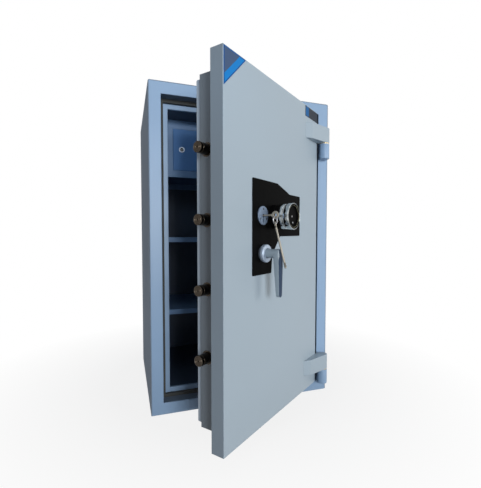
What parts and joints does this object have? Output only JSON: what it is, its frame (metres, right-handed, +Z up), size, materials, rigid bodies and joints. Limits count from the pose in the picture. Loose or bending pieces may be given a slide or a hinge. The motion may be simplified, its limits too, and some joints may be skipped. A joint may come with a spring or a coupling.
{
  "type": "steel safe",
  "caption": "Upright fire-resistant steel safe, its hinged door open, with bolt work, handle, dial and key locks, shelves and a small locker inside.",
  "frame": {"origin": "middle of the cabinet's footprint, on the floor", "axes": "+Z up, -Y out of the doorway (front), +X to the right seen from the front, where the hinges are"},
  "size_m": [0.72, 1.0288, 1.2],
  "materials": {
    "cabinet_paint": "satin grey-blue hammer-fine enamel",
    "door_paint": "satin grey-blue enamel",
    "interior_paint": "satin blue-grey enamel",
    "base_steel": "dull primer",
    "insulation": "cast fire-resistant filling",
    "seal": "dull expanding strip",
    "gloss_black": "gloss black",
    "dark_face": "gloss",
    "handle_paint": "satin silver-grey",
    "rose_metal": "satin silver-blue",
    "chrome": "bright",
    "bolt_steel": "oil-blackened, turned",
    "zinc_steel": "bright zinc",
    "lock_brass": "satin",
    "lock_case": "grey enamel",
    "key_brass": "nickel-tinted brass",
    "ring_steel": "spring wire"
  },
  "bodies": {
    "cabinet": {"outer_casing": "cabinet_paint", "back_panel": "cabinet_paint", "base_plate": "base_steel", "front_frame": "cabinet_paint", "door_jamb": "cabinet_paint", "door_stop_frame": "cabinet_paint", "heat_seal": "seal", "insulation_left": "insulation", "insulation_right": "insulation", "insulation_top": "insulation", "insulation_bottom": "insulation", "insulation_back": "insulation", "inner_liner": "interior_paint", "lower_shelf": "interior_paint", "upper_shelf": "interior_paint", "locker_floor": "interior_paint", "shelf_brackets": "interior_paint", "locker_front_frame": "interior_paint", "locker_partition": "interior_paint", "locker_hinge_frame_leaves": "zinc_steel", "hinge_block_lower": "cabinet_paint", "hinge_block_upper": "cabinet_paint", "hinge_pins": "zinc_steel", "hinge_washers": "lock_brass"},
    "door": {"door_skin": "door_paint", "door_insulation": "insulation", "door_back_plate": "base_steel", "step_frame": "door_paint", "back_cover": "door_paint", "cover_screws": "zinc_steel", "dog_bar": "door_paint", "hinge_arm_lower": "door_paint", "hinge_arm_upper": "door_paint", "escutcheon": "gloss_black", "key_rose": "rose_metal", "dial_ring": "gloss_black", "handle_collar": "handle_paint", "key_lock_case": "lock_case", "combination_lock_case": "lock_case", "combination_lock_bolt": "lock_brass", "combination_wheels": "lock_brass", "bar_guides": "zinc_steel"},
    "bolt_work": {"locking_bolts": "bolt_steel", "bolt_nuts": "zinc_steel", "bolt_bar": "zinc_steel", "drive_arm": "zinc_steel"},
    "handle": {"handle": "handle_paint", "handle_spindle": "zinc_steel", "drive_cam": "zinc_steel"},
    "dial": {"dial": "chrome", "dial_face": "dark_face", "dial_spindle": "zinc_steel"},
    "key": {"key": "key_brass"},
    "key_bolt": {"key_lock_bolt": "lock_brass"},
    "key_ring": {"key_ring": "ring_steel", "spare_key": "key_brass"},
    "locker_door": {"locker_door": "interior_paint", "locker_hinge_door_leaves": "zinc_steel"},
    "locker_lock": {"locker_lock": "chrome", "locker_cam": "zinc_steel"}
  },
  "joints": [
    {"name": "door_swing", "type": "hinge", "parent": "cabinet", "child": "door", "pos_m": [0.33, -0.344, 0.6], "axis": [0, 0, 1], "range_deg": [-37, 83]},
    {"name": "handle_turn", "type": "hinge", "parent": "door", "child": "handle", "pos_m": [-0.03824, -0.59144, 0.601], "axis": [-0.6018, 0.7986, 0], "range_deg": [0, 90]},
    {"name": "bolt_throw", "type": "slide", "parent": "door", "child": "bolt_work", "axis": [0.7986, 0.6018, 0], "range_m": [0, 0.04]},
    {"name": "dial_turn", "type": "hinge", "parent": "door", "child": "dial", "pos_m": [0.01846, -0.54871, 0.717], "axis": [-0.6018, 0.7986, 0], "continuous": true},
    {"name": "key_turn", "type": "hinge", "parent": "door", "child": "key", "pos_m": [-0.04063, -0.59324, 0.718], "axis": [-0.6018, 0.7986, 0], "range_deg": [-90, 0]},
    {"name": "key_bolt_slide", "type": "slide", "parent": "door", "child": "key_bolt", "axis": [0, 0, 1], "range_m": [-0.018, 0]},
    {"name": "key_ring_hang", "type": "hinge", "parent": "key", "child": "key_ring", "pos_m": [-0.01175, -0.63158, 0.709], "axis": [-0.6018, 0.7986, 0], "range_deg": [0, 90]},
    {"name": "locker_door_swing", "type": "hinge", "parent": "cabinet", "child": "locker_door", "pos_m": [-0.018, -0.148, 1], "axis": [0, 0, 1], "range_deg": [0, 90]},
    {"name": "locker_lock_turn", "type": "hinge", "parent": "locker_door", "child": "locker_lock", "pos_m": [-0.217, -0.144, 1.008], "axis": [0, 1, 0], "range_deg": [-90, 0]}
  ],
  "couplings": [
    {"joint": "bolt_throw", "follows": "handle_turn", "m_per_rad": 0.02546},
    {"joint": "key_turn", "follows": "key_bolt_slide", "rad_per_m": 87.2},
    {"joint": "key_ring_hang", "follows": "key_bolt_slide", "rad_per_m": -87.2}
  ]
}
